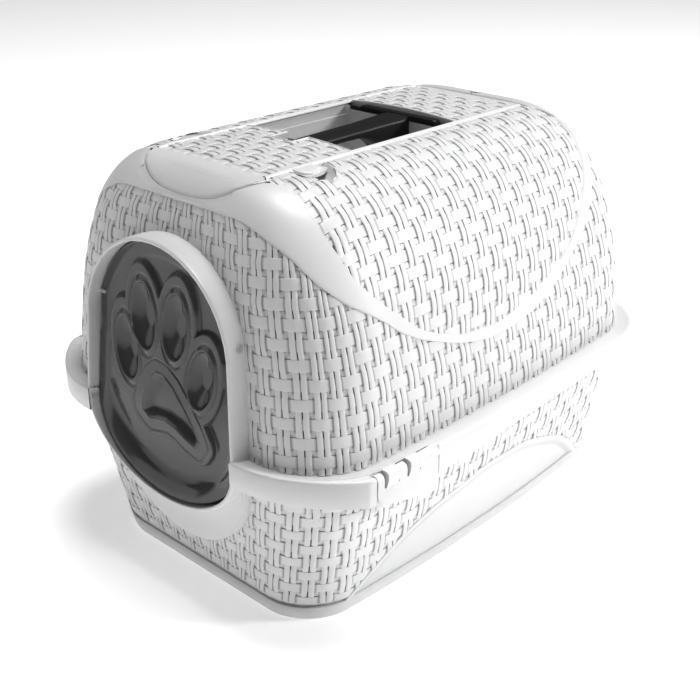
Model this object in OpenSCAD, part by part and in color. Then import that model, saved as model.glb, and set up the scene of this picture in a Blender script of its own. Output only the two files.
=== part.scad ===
// Hooded cat litter box: a tapered tray, a lift-off hood with a flange that covers the
// tray rim, a swinging entry flap, a hinged top lid round a carry handle, and two side clips.
// Millimetres. Z is up, the entry faces -Y, and the origin is under the middle of the box.

/* [Box] */
// Length over the flange, front to rear
box_length = 500; // [490:1:510]
// Width over the flange at its corners
box_width = 372; // [366:1:378]
// Outward bow of each side at mid length
side_bow = 11; // [6:1:14]
// Height of the tray, floor to flange
tray_height = 165; // [160:1:170]
// Height of the hood above the flange
hood_height = 208; // [204:1:212]
// Wall thickness of the mouldings
wall = 2.5; // [2:0.1:3]

/* [Flange] */
// How far the flange reaches out from the hood wall
flange_reach = 20; // [18:0.5:21]
// Depth of the skirt that hangs over the tray rim
skirt_depth = 17; // [14:1:19]
// Extra height of the crest over the gutter
crest_rise = 3.6; // [2:0.2:5]

/* [Entry] */
// Half width of the entry at flange level
entry_half = 92.8; // [90:0.2:94]
// Half width of the entry where the arch springs
spring_half = 88; // [85:0.5:89]
// Height of the springing above the flange
spring_rise = 78.5; // [74:0.5:82]
// Rise of the arch above its springing
arch_rise = 82; // [78:0.5:84]
// Drop of the entry below the flange
entry_drop = 65.5; // [60:0.5:68]
// Wall of the raised surround
porch_wall = 2.2; // [2:0.2:3]

/* [Flap] */
// Thickness of the flap
flap_thick = 2.4; // [2:0.1:3]
// Gap between the flap and its surround
flap_gap = 2; // [1.5:0.1:3]
// Height of the flap pivots above the flange
pivot_rise = 97; // [92:0.5:98]
// Diameter of a pivot pin
pin_d = 4; // [3:0.2:5]

/* [Lid] */
// Half width of the lid
lid_half = 68; // [66:0.5:69]
// Rear edge of the lid
lid_rear = 158; // [155:1:159]
// Line across the lid where its front tongue starts
tongue_line = -178; // [-180:1:-174]
// Length of the tongue
tongue_len = 28; // [24:1:29]
// Half width of the handle window
window_half = 64; // [60:0.5:64.5]
// Front edge of the handle window
window_front = -78; // [-84:1:-74]
// Rear edge of the handle window
window_rear = 57; // [52:1:60]

/* [Handle] */
// Half width of the hand bar
bar_half = 12; // [10:0.5:13]
// Thickness of the hand bar
bar_thick = 9; // [8:0.5:12]
// Half width of the rear plate
plate_half = 47; // [42:1:50]
// Depth of the recess under the handle
tub_depth = 44; // [40:1:50]

/* [Clips] */
// Front edge of a clip
clip_front = -190; // [-194:1:-186]
// Rear edge of a clip
clip_rear = -121; // [-126:1:-118]
// Gap between a clip and the skirt
clip_gap = 1.2; // [0.8:0.1:2]

/* [Hidden] */
$fn = 48;

half_len = box_length / 2;
base_half = box_width / 2 - flange_reach;
base_front = -half_len + flange_reach - 1;
base_rear = half_len - flange_reach;
top_z = tray_height + hood_height;
steps = 5;

// Curves of the two mouldings, each four control values from bottom to top: half width, front
// edge, rear edge, corner radius, bow and height.
TRAY = [
    [base_half - 36, base_half - 24, base_half - 12, base_half - 1],
    [base_front + 24, base_front + 16, base_front + 8, base_front],
    [base_rear + 7, base_rear + 6, base_rear + 3, base_rear],
    [46, 50, 55, 60],
    [side_bow, side_bow, side_bow, side_bow],
    [0, tray_height / 3, tray_height * 2 / 3, tray_height]];
HOOD = [
    [base_half, base_half + 5, base_half - 34, 66],
    [base_front, base_front + 11, base_front + 8, base_front + 52],
    [base_rear, base_rear - 9, base_rear - 9, base_rear - 71],
    [60, 72, 66, 40],
    [side_bow - 1, side_bow - 3, 3, 0],
    [tray_height, tray_height + 125, top_z, top_z]];

function bezier(p, t) = p[0] * pow(1 - t, 3) + 3 * p[1] * t * pow(1 - t, 2)
    + 3 * p[2] * t * t * (1 - t) + p[3] * pow(t, 3);
function corner(x, y, r, a) = [for (i = [0:7]) [x + r * cos(a + 90 * i / 7), y + r * sin(a + 90 * i / 7)]];
function side(x, y0, y1) = [for (i = [1:steps - 1]) [x, y0 + (y1 - y0) * i / steps]];
function bowed(p, w, f, r, b) = let (m = (f + r) / 2, h = (r - f) / 2)
    [p[0] * (1 + b / w * (1 - pow((p[1] - m) / h, 2))), p[1]];
// One level outline: a rounded rectangle with bowed sides, from the front right corner round
function ring(w, f, r, c, b, z) = [for (p = concat(
    corner(w - c, f + c, c, -90), side(w, f + c, r - c), corner(w - c, r - c, c, 0),
    corner(-w + c, r - c, c, 90), side(-w, r - c, f + c), corner(-w + c, f + c, c, 180)))
    let (q = bowed(p, w, f, r, b)) [q[0], q[1], z]];
// The outline of a moulding at t, moved in by a distance and down by another
function level(m, t, inset = 0, drop = 0) = ring(bezier(m[0], t) - inset, bezier(m[1], t) + inset,
    bezier(m[2], t) - inset, max(bezier(m[3], t) - inset, 5), bezier(m[4], t), bezier(m[5], t) - drop);
// An outline that keeps its distance outside the hood's foot
function foot(out, z) = ring(base_half + out, base_front - out * (flange_reach - 1) / flange_reach,
    base_rear + out, 60 + max(out, 0) * 1.5, side_bow, z);

// A closed solid through a list of outlines that have as many points each
module loft(rings) {
    n = len(rings[0]);
    m = len(rings);
    polyhedron(
        points = [for (r = rings) each r],
        faces = concat(
            [[for (i = [0:n - 1]) i]],
            [for (j = [0:m - 2], i = [0:n - 1]) [j * n + i, (j + 1) * n + i, (j + 1) * n + (i + 1) % n]],
            [for (j = [0:m - 2], i = [0:n - 1]) [j * n + i, (j + 1) * n + (i + 1) % n, j * n + (i + 1) % n]],
            [[for (i = [n - 1:-1:0]) (m - 1) * n + i]]));
}

// Entry outline in the XZ plane, grown by g: an arch above the flange and a bowl below it
spring_z = tray_height - 3.5 + spring_rise;
seam_z = tray_height - 3.5;
module entry_outline(g) {
    polygon(concat(
        [for (a = [0:7.5:180]) [(spring_half + g) * cos(a), spring_z + (arch_rise + g) * sin(a)]],
        [for (a = [180:7.5:360]) [(entry_half + g) * cos(a), seam_z + (entry_drop + g) * sin(a)]]));
}
// A shape of the XZ plane drawn as a bar from y0 to y1
module along_y(y0, y1) { translate([0, y1, 0]) rotate([90, 0, 0]) linear_extrude(y1 - y0) children(); }
porch_front = -half_len + 0.6;
porch_back = base_front + 26;
module surround(z0, z1) {
    intersection() {
        difference() {
            along_y(porch_front - 5, porch_back) entry_outline(porch_wall);
            along_y(porch_front - 6, porch_back + 1) entry_outline(0);
        }
        translate([-150, -400, z0]) cube([300, 400, z1 - z0]);
        intersection_for(lean = [-3.7, 2.8]) translate([0, porch_front, seam_z]) rotate([lean, 0, 0])
            translate([-150, 0, -100]) cube([300, 60, 300]);
    }
}

// Lower moulding: floor, tapered wall, rim flange, entry bowl and the pad under it
module tray() {
    rim_z = tray_height - 5.4;
    rim_out = flange_reach - 4.6;
    levels = 5;
    color("white") difference() {
        union() {
            loft(concat(
                [level(TRAY, 0, 5), level(TRAY, 0.03)],
                [for (i = [1:levels - 1]) level(TRAY, i / levels)],
                [level(TRAY, 0.96)],
                [foot(rim_out, rim_z - 2.4), foot(rim_out, rim_z), foot(-wall - 1, rim_z)],
                [for (i = [levels - 1:-1:1]) level(TRAY, i / levels, wall)],
                [level(TRAY, 0.035, wall), level(TRAY, 0.018, wall + 5)]));
            surround(60, seam_z - 0.2);
            apron();
        }
        along_y(porch_front - 10, base_front + 40) entry_outline(0);
    }
}
// Smooth pad on the tray below the entry
module apron() {
    intersection() {
        difference() {
            along_y(-half_len, base_front + 14)
                polygon([for (a = [180:7.5:360]) [93 * cos(a), 150 + 99 * sin(a)]]);
            along_y(-half_len - 1, base_front + 15) entry_outline(0);
        }
        translate([0, -231, 100]) rotate([5.7, 0, 0]) translate([-150, 0, -100]) cube([300, 60, 200]);
        loft([level(TRAY, 0, -30), level(TRAY, 0.999, -30)]);
        translate([-150, -400, 0]) cube([300, 400, rim_under()]);
    }
}
function rim_under() = tray_height - 7.8;

// Upper moulding: wall, rounded top, flange with its skirt and the entry surround
module hood() {
    levels = 10;
    gutter_z = tray_height - 4.6;
    skirt_z = tray_height - skirt_depth + crest_rise;
    color("white") difference() {
        union() {
            loft(concat(
                [level(HOOD, 1, 1, wall)],
                [for (i = [levels - 1:-1:1]) level(HOOD, i / levels, wall, i > 7 ? wall * 0.7 : 0)],
                [foot(-wall, gutter_z), foot(flange_reach - wall, gutter_z + 0.6),
                    foot(flange_reach - wall, skirt_z), foot(flange_reach, skirt_z),
                    foot(flange_reach, tray_height + 1), foot(flange_reach - 2.5, tray_height + crest_rise),
                    foot(1.5, tray_height - 1)],
                [for (i = [0:levels]) level(HOOD, i / levels)]));
            surround(seam_z + 0.2, 400);
            for (s = [-1, 1]) {
                translate([s * tab_x, tab_y, top_z - 16]) scale([0.9, 1, 1]) cylinder(h = 7.5, r = 34);
                for (y = [clip_front - clip_gap - 5, clip_rear + clip_gap])
                    translate([s * (clip_axis_x - 4) - 6.4, y, tray_height - 4.3]) cube([12.8, 5, 5.2]);
            }
        }
        along_y(porch_front - 10, base_front + 60) entry_outline(0);
        intersection() {
            along_y(porch_front - 10, base_front + 40) entry_outline(porch_wall + 0.4);
            translate([-150, -400, 0]) cube([300, 400, seam_z]);
        }
        translate([0, 0, top_z - 34]) linear_extrude(60) lid_plan(0.8);
        for (s = [-1, 1]) {
            translate([s * tab_x, tab_y, top_z - 13.5]) scale([0.9, 1, 1]) cylinder(h = 40, r = 32);
            translate([s * (clip_axis_x + 22) - 25, clip_front - clip_gap, 100])
                cube([50, clip_rear - clip_front + 2 * clip_gap, 90]);
            translate([s * clip_axis_x, clip_rear + 4.2, clip_axis_z]) rotate([90, 0, 0])
                cylinder(h = clip_rear - clip_front + 8.4, d = 2);
            at_flap_pivot() rotate([0, s * 90, 0]) cylinder(h = 120, d = pin_d);
        }
    }
}

// Plan of the lid with its half-oval tongue, grown by g
module lid_plan(g) {
    polygon(concat(
        [[lid_half + g, lid_rear + g], [-lid_half - g, lid_rear + g]],
        [for (a = [180:10:360]) [(lid_half + g) * cos(a), tongue_line + (tongue_len + g) * sin(a)]]));
}

// Floor under the lid: deck, recess for the hand, and a well for the filter
deck_z = top_z - 9;
well_y = window_rear + 19;
module roof_insert() {
    well = [118, 62, 16];
    kerb = lid_half + 1.2;
    color("gainsboro") difference() {
        union() {
            translate([-kerb - wall, tongue_line - 4, deck_z - wall])
                cube([2 * (kerb + wall), lid_rear - tongue_line + 4, wall]);
            for (s = [-1, 1]) {
                translate([s * (kerb + wall / 2) - wall / 2, tab_y + 36, deck_z - 1])
                    cube([wall, lid_rear - tab_y - 40, top_z - wall - deck_z + 0.7]);
                translate([s * 64.5 - 2.5, hinge_y - 3, deck_z - 1]) cube([5, 6, hinge_z - deck_z + 1]);
                translate([s * 64.5 - 2.5, hinge_y, hinge_z]) rotate([0, 90, 0]) cylinder(h = 5, d = 5);
            }
            translate([-window_half - 1, window_front - 2, deck_z - tub_depth])
                cube([2 * window_half + 2, window_rear - window_front + 4, tub_depth - 1]);
            translate([-well[0] / 2 - wall, well_y - wall, deck_z - well[2]])
                cube([well[0] + 2 * wall, well[1] + 2 * wall, well[2] - 1]);
        }
        translate([-window_half + wall, window_front + 1, deck_z - tub_depth + wall])
            cube([2 * (window_half - wall), window_rear - window_front - 2, tub_depth]);
        translate([-well[0] / 2, well_y, deck_z - well[2] + wall]) cube([well[0], well[1], 30]);
        for (i = [-4:4])
            translate([i * 12 - 3, well_y + 5, deck_z - well[2] - 1]) cube([6, well[1] - 10, wall + 2]);
        for (s = [-1, 1]) {
            translate([s * 64.5, hinge_y, hinge_z]) rotate([0, 90, 0]) cylinder(h = 12, d = 3, center = true);
            translate([s * 32, window_rear - 4, deck_z - 22]) rotate([-90, 0, 0]) cylinder(h = 20, d = 4);
        }
    }
}

// Black handle: a plate across the rear of the recess and a bar that runs forward from it
module carry_handle() {
    bar_top = top_z - 3;
    bar_end = window_front - 14;
    floor_z = deck_z - tub_depth + wall + 0.2;
    web_r = 34;
    color("dimgray") difference() {
        union() {
            translate([-plate_half, window_rear - 6.5, floor_z])
                cube([2 * plate_half, 5.5, top_z + 1 - floor_z]);
            intersection() {
                along_x(2 * bar_half) polygon(concat(
                    [[window_rear - 4, bar_top + 2.5], [window_rear - 20, bar_top + 0.5], [bar_end, bar_top],
                        [bar_end, bar_top - bar_thick]],
                    [for (a = [90:-10:0])
                        [window_rear - 64 + web_r * cos(a), bar_top - bar_thick - web_r * (1 - sin(a))]],
                    [[window_rear - 64 + web_r, floor_z], [window_rear - 4, floor_z]]));
                along_y(bar_end - 1, window_rear) hull() {
                    for (s = [-1, 1]) translate([s * (bar_half - 4), bar_top - 1.5]) circle(4);
                    translate([-bar_half, floor_z]) square([2 * bar_half, 10]);
                }
            }
        }
        for (s = [-1, 1])
            translate([s * 32, window_rear - 5, deck_z - 22]) rotate([-90, 0, 0]) cylinder(h = 20, d = 4);
    }
}
// A shape of the YZ plane drawn as a bar of this width, centred on X
module along_x(width) { translate([-width / 2, 0, 0]) rotate([90, 0, 90]) linear_extrude(width) children(); }

// Two screws that hold the handle's plate to the rear wall of the recess, from behind
module handle_screws() {
    color("silver") for (s = [-1, 1]) translate([s * 32, window_rear - 5, deck_z - 22]) rotate([-90, 0, 0]) {
        cylinder(h = 7.5, d = 4);
        translate([0, 0, 7]) cylinder(h = 2.4, d = 7);
    }
}

// Lid: a crowned panel with a half-oval tongue, a window for the handle and a finger tab each side
hinge_y = lid_rear - 3.2;
hinge_z = top_z - 1.5;
tab_x = lid_half - 2;
tab_y = -140;
module top_lid() {
    crown = 2;
    fall = [for (i = [8:-1:1]) let (t = 1 - i * 0.0285) [bezier(HOOD[1], t), bezier(HOOD[5], t)]];
    rows = concat([for (q = fall) if (q[0] > tongue_line - tongue_len + 0.6 && q[0] < tongue_line - 1) q],
        [for (i = [0:8]) [tongue_line + (hinge_y - tongue_line) * i / 8, top_z]]);
    cols = 10;
    function half(y) = y >= tongue_line ? lid_half
        : lid_half * sqrt(max(1 - pow((tongue_line - y) / tongue_len, 2), 0.04));
    function place(q, j, drop) = let (x = half(q[0]) * (2 * j / cols - 1))
        [x, q[0], q[1] + crown * (1 - pow(x / lid_half, 2)) - drop];
    // Across each row: the top from left to right, then the underside back again
    sections = [for (q = rows) concat([for (j = [0:cols]) place(q, j, 0)],
        [for (j = [cols:-1:0]) place(q, j, wall)])];
    n = 2 * cols + 2;
    m = len(sections);
    color("white") {
        difference() {
            union() {
                polyhedron(
                    points = [for (s = sections) each s],
                    faces = concat(
                        [[for (i = [0:n - 1]) i]],
                        [for (j = [0:m - 2], i = [0:n - 1]) let (a = j * n, b = a + n, k = (i + 1) % n)
                            each [[a + i, b + i, b + k], [a + i, b + k, a + k]]],
                        [[for (i = [n - 1:-1:0]) (m - 1) * n + i]]));
                for (s = [-1, 1]) {
                    translate([s * (lid_half - 1.9) - 1.9, tongue_line + 6, top_z - 8])
                        cube([3.8, lid_rear - tongue_line - 20, 9.5]);
                    translate([s * tab_x, tab_y, top_z - 3.4]) scale([0.55, 1, 1]) cylinder(h = 2.4, r = 26);
                }
                translate([0, hinge_y, hinge_z]) rotate([0, 90, 0]) cylinder(h = 123, d = 5, center = true);
            }
            translate([-window_half, window_front, top_z - 20])
                cube([2 * window_half, window_rear - window_front, 40]);
            translate([-bar_half - 3, window_front - 20, top_z - 20]) cube([2 * bar_half + 6, 22, 40]);
            for (s = [-1, 1]) translate([s * 66 - 4, hinge_y - 4, top_z - 10]) cube([8, 20, 20]);
            translate([0, hinge_y, hinge_z]) rotate([0, 90, 0]) cylinder(h = 200, d = 3.06, center = true);
        }
    }
}

// Two wire pins that the lid turns on, held by lugs of the roof insert
module lid_hinge_pins() {
    color("silver") for (s = [-1, 1]) translate([s * 59.5, hinge_y, hinge_z]) rotate([0, 90, 0])
        cylinder(h = 15, d = 3, center = true);
}

// Frame of the flap's turning axis: through both pivots
module at_flap_pivot() { translate([0, -half_len + 18.5, seam_z + pivot_rise]) children(); }
flap_lean = 4.6;
// Smoky swinging flap: one sheet with a thicker border and two pivot hubs
module entry_flap() {
    color("dimgray", 0.6) difference() {
        union() {
            at_flap_pivot() rotate([-flap_lean, 0, 0]) translate([0, 0, -seam_z - pivot_rise])
                along_y(-flap_thick / 2, flap_thick / 2) entry_outline(-flap_gap);
            for (s = [-1, 1]) at_flap_pivot() translate([s * 79.6, 0, 0]) rotate([0, 90, 0])
                cylinder(h = 8, d = 9, center = true);
        }
        for (s = [-1, 1]) at_flap_pivot() rotate([0, s * 90, 0]) translate([0, 0, 76.8])
            cylinder(h = 20, d = pin_d + 0.08);
    }
}
// Two pins that pass through the surround into the flap's hubs
module flap_pins() {
    color("silver") for (s = [-1, 1]) at_flap_pivot() rotate([0, s * 90, 0]) {
        translate([0, 0, 77]) cylinder(h = 13, d = pin_d);
        translate([0, 0, 89.2]) cylinder(h = 1.2, d = 6);
    }
}

// Side clip: a tongue in the skirt with two gripping pads and a hook that faces the tray rim
clip_x = base_half + flange_reach + side_bow * 0.6;
clip_axis_x = clip_x - 3.6;
clip_axis_z = tray_height - 1.5;
module clip(s) {
    length = clip_rear - clip_front;
    foot_z = tray_height - 36;
    front_r = 14;
    rear_r = 8;
    color("white") difference() {
        union() {
            translate([s * clip_x - 1.5, 0, 0]) rotate([90, 0, 90]) linear_extrude(3)
                polygon(concat(
                    [[clip_front, tray_height + 2.6]],
                    [for (a = [0:15:90]) [clip_front + front_r * (1 - cos(a)), foot_z + 26 - 15 * sin(a)]],
                    [for (a = [0:15:90]) [clip_rear - rear_r * (1 - sin(a)), foot_z + rear_r * (1 - cos(a))]],
                    [[clip_rear, tray_height + 2.6]]));
            translate([s * (clip_x - 3) - 3, clip_front, clip_axis_z - 2.6]) cube([6, length, 5.2]);
            for (y = [clip_front + 10, clip_front + 35])
                translate([s * (clip_x + 1.2) - 1.2, y, tray_height - 15]) cube([2.4, 13, 18]);
            translate([s * (clip_x - 1.7) - 1.7, clip_front + 12, tray_height - 19]) cube([3.4, 28, 2.5]);
        }
        translate([s * clip_axis_x, 0, clip_axis_z]) rotate([90, 0, 0])
            cylinder(h = 600, d = 2.06, center = true);
    }
}
module clip_left() { clip(-1); }
module clip_right() { clip(1); }
// Pins that the clips turn on, pressed into the ends of their slots in the flange
module clip_hinge_pins() {
    color("silver") for (s = [-1, 1]) translate([s * clip_axis_x, clip_rear + 4, clip_axis_z])
        rotate([90, 0, 0]) cylinder(h = clip_rear - clip_front + 8, d = 2);
}

// Charcoal pad in its well, and the frame that keeps it there
module carbon_filter() {
    color("darkslategray") translate([-58, well_y + 1, deck_z - 13.5]) cube([116, 60, 8]);
}
module filter_frame() {
    color("dimgray") difference() {
        translate([-58.5, well_y + 0.5, deck_z - 5.5]) cube([117, 61, 3]);
        for (i = [-4:4], j = [0:2]) translate([i * 12 - 4, well_y + 6 + j * 17, deck_z - 6]) cube([8, 13, 6]);
    }
}

tray();
hood();
roof_insert();
carry_handle();
handle_screws();
top_lid();
lid_hinge_pins();
entry_flap();
flap_pins();
clip_left();
clip_right();
clip_hinge_pins();
carbon_filter();
filter_frame();
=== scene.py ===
import math
import bpy
import numpy as np
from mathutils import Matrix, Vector


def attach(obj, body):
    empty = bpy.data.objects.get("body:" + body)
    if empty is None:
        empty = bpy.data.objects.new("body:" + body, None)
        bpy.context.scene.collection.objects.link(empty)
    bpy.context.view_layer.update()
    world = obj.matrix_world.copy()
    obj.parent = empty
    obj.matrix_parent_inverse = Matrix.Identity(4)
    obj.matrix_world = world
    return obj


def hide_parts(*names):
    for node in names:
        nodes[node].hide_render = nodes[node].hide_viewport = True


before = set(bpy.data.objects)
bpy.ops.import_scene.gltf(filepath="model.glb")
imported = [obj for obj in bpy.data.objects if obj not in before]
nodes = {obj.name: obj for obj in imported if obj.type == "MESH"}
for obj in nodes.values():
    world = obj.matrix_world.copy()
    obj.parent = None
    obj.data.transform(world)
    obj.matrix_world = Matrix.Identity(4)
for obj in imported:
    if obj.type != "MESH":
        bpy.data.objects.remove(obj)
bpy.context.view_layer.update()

# ---------------------------------------------------------------- camera
# Camera, lights and floor are in metres. Meshes are laid out in millimetres, and build() makes them metres.
AZ, EL = math.radians(42.95), math.radians(25.11)
back = Vector((math.sin(AZ) * math.cos(EL), -math.cos(AZ) * math.cos(EL), math.sin(EL)))
cam_data = bpy.data.cameras.new("camera")
cam_data.sensor_width, cam_data.lens = 36, 58.06
cam = bpy.data.objects.new("camera", cam_data)
bpy.context.scene.collection.objects.link(cam)
cam.location = (0.6745, -0.7379, 0.6183)
cam.rotation_mode = "QUATERNION"
cam.rotation_quaternion = (-back).to_track_quat("-Z", "Y")
bpy.context.scene.camera = cam


# ---------------------------------------------------------------- surfaces of the two mouldings
def bez(p, t):
    return p[0] * (1 - t) ** 3 + 3 * p[1] * t * (1 - t) ** 2 + 3 * p[2] * t * t * (1 - t) + p[3] * t ** 3


def half_outline(w, f, r, c, b, n=90):
    """x >= 0 half of a rounded, bowed rectangle, from the front centre round to the rear centre."""
    a = np.linspace(0, math.pi / 2, n)
    x = np.concatenate([np.linspace(0, w - c, 40)[:-1], w - c + c * np.sin(a), np.full(200, w),
                        w - c + c * np.cos(a), np.linspace(w - c, 0, 40)[1:]])
    y = np.concatenate([np.full(39, f), f + c - c * np.cos(a), np.linspace(f + c, r - c, 202)[1:-1],
                        r - c + c * np.sin(a), np.full(39, r)])
    mid, half = (f + r) / 2, (r - f) / 2
    return x * (1 + b / w * (1 - ((y - mid) / half) ** 2)), y


class Wall:
    """A moulding's outer surface by arc lengths: v up the side, u forward from y = 0 on the +X side."""
    REACH = 400

    def __init__(self, w, f, r, c, b, z):
        self.rows = (w, f, r, c, b, z)
        t = np.linspace(0, 1, 1501)
        rise = np.r_[0, np.cumsum(np.hypot(np.diff(bez(z, t)), np.diff(bez(w, t))))]
        self.top = rise[-1]
        self.v = np.linspace(0, self.top, 240)
        self.t = np.interp(self.v, rise, t)
        self.u = np.arange(-self.REACH, self.REACH + 1, 1.0)
        pts, ends = [], []
        for k in self.t:
            x, y = half_outline(*[bez(q, k) for q in (w, f, r, c, b)])
            arc = np.r_[0, np.cumsum(np.hypot(np.diff(x), np.diff(y)))]
            side = np.interp(0.0, y, arc)
            pts.append(np.column_stack([np.interp(side - self.u, arc, x), np.interp(side - self.u, arc, y),
                                        np.full(len(self.u), bez(z, k))]))
            ends.append((side, arc[-1] - side))
        self.p = np.array(pts)
        self.front, self.rear = np.array(ends).T
        du, dv = np.gradient(self.p, axis=1), np.gradient(self.p, axis=0)
        flat = np.linalg.norm(du, axis=2) < 0.3
        du[flat] = np.where((self.u > 0)[None, :, None], (-1.0, 0, 0), (1.0, 0, 0)).repeat(len(self.t),
                                                                                           0)[flat]
        n = np.cross(dv, du)
        self.n = n / np.linalg.norm(n, axis=2, keepdims=True)

    def _look(self, table, u, v):
        i = np.clip(np.asarray(v, float) / self.top * (len(self.v) - 1), 0, len(self.v) - 1.001)
        j = np.clip(np.asarray(u, float) + self.REACH, 0, len(self.u) - 1.001)
        i, j = np.broadcast_arrays(i, j)
        a, b = i.astype(int), j.astype(int)
        fi, fj = (i - a)[..., None], (j - b)[..., None]
        return ((table[a, b] * (1 - fi) + table[a + 1, b] * fi) * (1 - fj)
                + (table[a, b + 1] * (1 - fi) + table[a + 1, b + 1] * fi) * fj)

    def at(self, u, v, out=0.0):
        n = self._look(self.n, u, v)
        n /= np.linalg.norm(n, axis=-1, keepdims=True)
        return self._look(self.p, u, v) + n * np.asarray(out, float)[..., None]

    def nearest(self, points):
        """(u, v) of the surface points nearest to a list of points."""
        flat = self.p[:, 20:-20].reshape(-1, 3)
        out = []
        for q in points:
            k = int(np.argmin(((flat - np.asarray(q, float)) ** 2).sum(1)))
            i, j = divmod(k, len(self.u) - 40)
            out.append((self.u[j + 20], self.v[i]))
        return np.array(out)

    def half_width(self, t, y):
        """x of the +X side at a y, for an array of t; nan where a level doesn't reach that y."""
        w, f, r, c, b = [bez(q, t) for q in self.rows[:5]]
        x = np.where(y < f + c, w - c + np.sqrt(np.maximum(c * c - (y - f - c) ** 2, 0)),
                     np.where(y > r - c, w - c + np.sqrt(np.maximum(c * c - (y - r + c) ** 2, 0)), w))
        mid, half = (f + r) / 2, (r - f) / 2
        return np.where((y >= f) & (y <= r), x * (1 + b / w * (1 - ((y - mid) / half) ** 2)), np.nan)


HOOD = Wall((167, 172, 133, 66), (-232, -221, -224, -180), (231, 222, 222, 160), (60, 72, 66, 40),
            (10, 8, 3, 0), (165, 290, 374, 374))
TRAY = Wall((131, 143, 155, 166), (-208, -216, -224, -232), (238, 237, 234, 231), (46, 50, 55, 60),
            (11, 11, 11, 11), (0, 55, 110, 165))
FINE = np.linspace(0, 1, 1201)


def roof_z(x, y):
    """Height of the hood's surface over a point of its plan."""
    hx, hz = HOOD.half_width(FINE, y), bez(HOOD.rows[5], FINE)
    ok = ~np.isnan(hx)
    hx, hz = hx[ok][::-1], hz[ok][::-1]
    return float(np.interp(abs(x), hx, hz)) if len(hx) else 374.0


# ---------------------------------------------------------------- mesh helpers
SIDES = ((False, "right"), (True, "left"))
MM = 0.001
MERGE = 0.004
LEAST_AREA = 1e-5


def build(name, verts, faces, mat, body, slot, replaces=(), groove=None, angle=35, mirror=False):
    """A mesh object from millimetre points. Faces are triangles or quads; equal points are merged."""
    v = np.maximum(np.asarray(verts, float).reshape(-1, 3), (-1e9, -1e9, 0))
    g = np.zeros(len(v)) if groove is None else np.asarray(groove, float).reshape(-1)
    f = np.asarray(faces, int)
    if mirror:
        v = v * (-1, 1, 1)
        f = f[:, ::-1]
    if f.shape[1] == 4:
        f = np.vstack([f[:, (0, 1, 2)], f[:, (0, 2, 3)]])
    key = np.round(v / MERGE).astype(np.int64)
    _, first, back_to = np.unique(key, axis=0, return_index=True, return_inverse=True)
    f = back_to.reshape(-1)[f]
    v, g = v[first], g[first]
    f = f[(f[:, 0] != f[:, 1]) & (f[:, 1] != f[:, 2]) & (f[:, 0] != f[:, 2])]
    area = np.linalg.norm(np.cross(v[f[:, 1]] - v[f[:, 0]], v[f[:, 2]] - v[f[:, 0]]), axis=1)
    f = f[area > LEAST_AREA]
    used = np.unique(f)
    remap = np.zeros(len(v), int)
    remap[used] = np.arange(len(used))
    v, g, f = v[used], g[used], remap[f]
    m = bpy.data.meshes.new(name)
    m.vertices.add(len(v))
    m.vertices.foreach_set("co", (v * MM).astype(np.float32).ravel())
    m.loops.add(f.size)
    m.loops.foreach_set("vertex_index", f.astype(np.int32).ravel())
    m.polygons.add(len(f))
    m.polygons.foreach_set("loop_start", np.arange(0, f.size, 3, dtype=np.int32))
    m.update(calc_edges=True)
    m.polygons.foreach_set("use_smooth", np.ones(len(f), bool))
    if angle:
        m.set_sharp_from_angle(angle=math.radians(angle))
    # painted shade of each point: the white material mixes its colour towards a dark colour by this
    # attribute
    a = m.attributes.new("groove", "FLOAT", "POINT")
    a.data.foreach_set("value", g.astype(np.float32))
    m.validate()
    m.materials.append(mat)
    o = bpy.data.objects.new(name, m)
    bpy.context.scene.collection.objects.link(o)
    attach(o, body)
    if replaces:
        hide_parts(*replaces)
    return o


def white(name, verts, faces, body, **options):
    """A piece in the white plastic of both mouldings."""
    return build(name, verts, faces, WHITE, body, "white_plastic", **options)


def quads(nr, nc, close_c=False, flip=False):
    """Quads of a grid of nr rows and nc columns."""
    r = np.arange(nr - 1)[:, None] * nc
    c = np.arange(nc if close_c else nc - 1)[None, :]
    d = (c + 1) % nc
    q = np.stack([r + c, r + d, r + nc + d, r + nc + c], -1).reshape(-1, 4)
    return q[:, ::-1] if flip else q


def join(*parts):
    """Several (verts, faces) as one, all as triangles."""
    vs, fs, n = [], [], 0
    for v, f in parts:
        v, f = np.asarray(v, float).reshape(-1, 3), np.asarray(f, int)
        if f.shape[1] == 4:
            f = np.vstack([f[:, (0, 1, 2)], f[:, (0, 2, 3)]])
        vs.append(v)
        fs.append(f + n)
        n += len(v)
    return np.vstack(vs), np.vstack(fs)


def smooth(a, b, x):
    """0 at a, 1 at b and a soft step between."""
    t = np.clip((np.asarray(x, float) - a) / (b - a), 0, 1)
    return t * t * (3 - 2 * t)


# ---------------------------------------------------------------- the entry's outline, in XZ
SEAM, SPRING = 161.5, 240.0
ARCH_HALF, ARCH_RISE = 88, 82
BOWL_HALF, BOWL_DROP = 92.8, 65.5
PROBE = 0.05
STEEPEST = 1.2
FAR = 99.0


def entry_curve(g=0.0, n=72, part="all"):
    """Points round the entry, grown by g: the arch from right to left, then the bowl back again."""
    a = np.linspace(0, math.pi, n)
    arch = np.column_stack([(ARCH_HALF + g) * np.cos(a), SPRING + (ARCH_RISE + g) * np.sin(a)])
    bowl = np.column_stack([-(BOWL_HALF + g) * np.cos(a), SEAM - (BOWL_DROP + g) * np.sin(a)])
    if part == "arch":
        return np.vstack([[BOWL_HALF + g, SEAM], arch, [-BOWL_HALF - g, SEAM]])
    return bowl if part == "bowl" else np.vstack([arch, bowl])


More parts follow.
